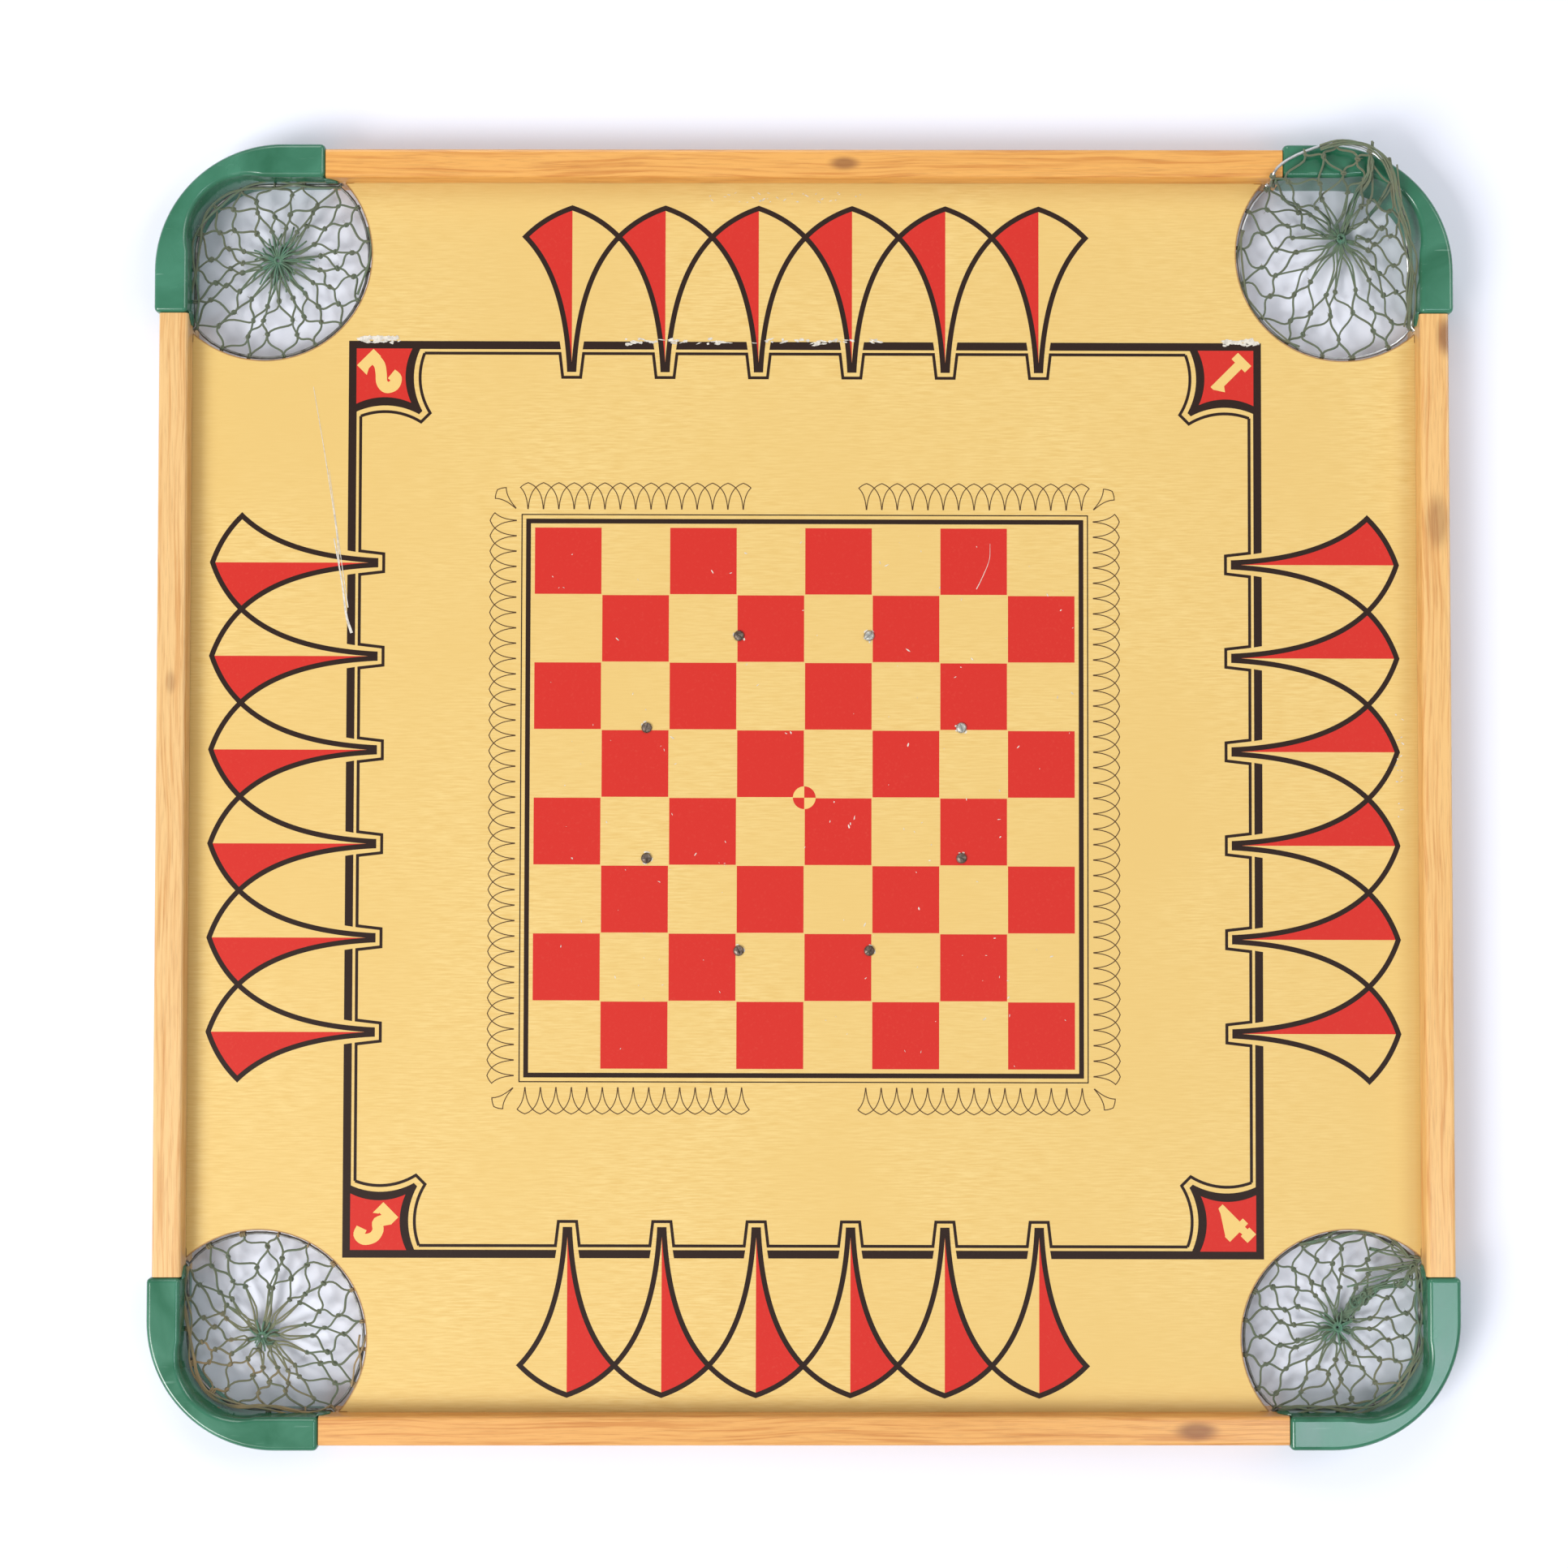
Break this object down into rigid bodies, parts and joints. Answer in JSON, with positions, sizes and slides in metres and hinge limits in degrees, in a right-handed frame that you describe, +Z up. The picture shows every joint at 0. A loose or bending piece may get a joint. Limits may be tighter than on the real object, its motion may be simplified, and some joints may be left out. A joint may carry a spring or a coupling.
{
  "type": "carrom board",
  "caption": "Square carrom board with pine rails, moulded corner pieces, a printed playing panel, twine net pockets on hinged wire bails, and bumper posts on the reverse.",
  "frame": {"origin": "middle of the footprint, on the surface that the four corner pieces stand on", "axes": "+Z up out of the printed playing face; +X towards pockets 1 and 4, +Y towards pockets 1 and 2"},
  "size_m": [0.7112, 0.7112, 0.0368],
  "materials": {
    "printed_hardboard": "hardboard painted yellow and screen printed in red and black, clear lacquer",
    "lacquered_pine": "clear lacquered pine, satin",
    "green_plastic": "moulded green polystyrene, worn gloss",
    "pocket_wire": "drawn spring wire",
    "green_twine": "twisted cotton twine, knotted",
    "plated_screw": "dulled plating",
    "bumper_rubber": "moulded rubber tube",
    "brad_steel": "bright wire brad"
  },
  "bodies": {
    "board": {"panel": "printed_hardboard", "rail_front": "lacquered_pine", "rail_right": "lacquered_pine", "rail_back": "lacquered_pine", "rail_left": "lacquered_pine", "corner_1": "green_plastic", "net_hoop_1": "pocket_wire", "net_1": "green_twine", "corner_2": "green_plastic", "net_hoop_2": "pocket_wire", "net_2": "green_twine", "corner_3": "green_plastic", "net_hoop_3": "pocket_wire", "net_3": "green_twine", "corner_4": "green_plastic", "net_hoop_4": "pocket_wire", "net_4": "green_twine", "bumper_screw_1": "plated_screw", "bumper_sleeve_1": "bumper_rubber", "bumper_nut_1": "plated_screw", "corner_brad_1": "brad_steel", "bumper_screw_2": "plated_screw", "bumper_sleeve_2": "bumper_rubber", "bumper_nut_2": "plated_screw", "corner_brad_2": "brad_steel", "bumper_screw_3": "plated_screw", "bumper_sleeve_3": "bumper_rubber", "bumper_nut_3": "plated_screw", "corner_brad_3": "brad_steel", "bumper_screw_4": "plated_screw", "bumper_sleeve_4": "bumper_rubber", "bumper_nut_4": "plated_screw", "corner_brad_4": "brad_steel", "bumper_screw_5": "plated_screw", "bumper_sleeve_5": "bumper_rubber", "bumper_nut_5": "plated_screw", "corner_brad_5": "brad_steel", "bumper_screw_6": "plated_screw", "bumper_sleeve_6": "bumper_rubber", "bumper_nut_6": "plated_screw", "corner_brad_6": "brad_steel", "bumper_screw_7": "plated_screw", "bumper_sleeve_7": "bumper_rubber", "bumper_nut_7": "plated_screw", "corner_brad_7": "brad_steel", "bumper_screw_8": "plated_screw", "bumper_sleeve_8": "bumper_rubber", "bumper_nut_8": "plated_screw", "corner_brad_8": "brad_steel"},
    "bail_1": {"net_bail_1": "pocket_wire"},
    "bail_2": {"net_bail_2": "pocket_wire"},
    "bail_3": {"net_bail_3": "pocket_wire"},
    "bail_4": {"net_bail_4": "pocket_wire"}
  },
  "joints": [
    {"name": "bail_hinge_1", "type": "hinge", "parent": "board", "child": "bail_1", "pos_m": [0.2967, 0.2967, 0.017], "axis": [0.7071, -0.7071, 0], "range_deg": [0, 75]},
    {"name": "bail_hinge_2", "type": "hinge", "parent": "board", "child": "bail_2", "pos_m": [-0.2967, 0.2967, 0.017], "axis": [0.7071, 0.7071, 0], "range_deg": [0, 110]},
    {"name": "bail_hinge_3", "type": "hinge", "parent": "board", "child": "bail_3", "pos_m": [-0.2967, -0.2967, 0.017], "axis": [-0.7071, 0.7071, 0], "range_deg": [0, 110]},
    {"name": "bail_hinge_4", "type": "hinge", "parent": "board", "child": "bail_4", "pos_m": [0.2967, -0.2967, 0.017], "axis": [-0.7071, -0.7071, 0], "range_deg": [0, 110]}
  ]
}
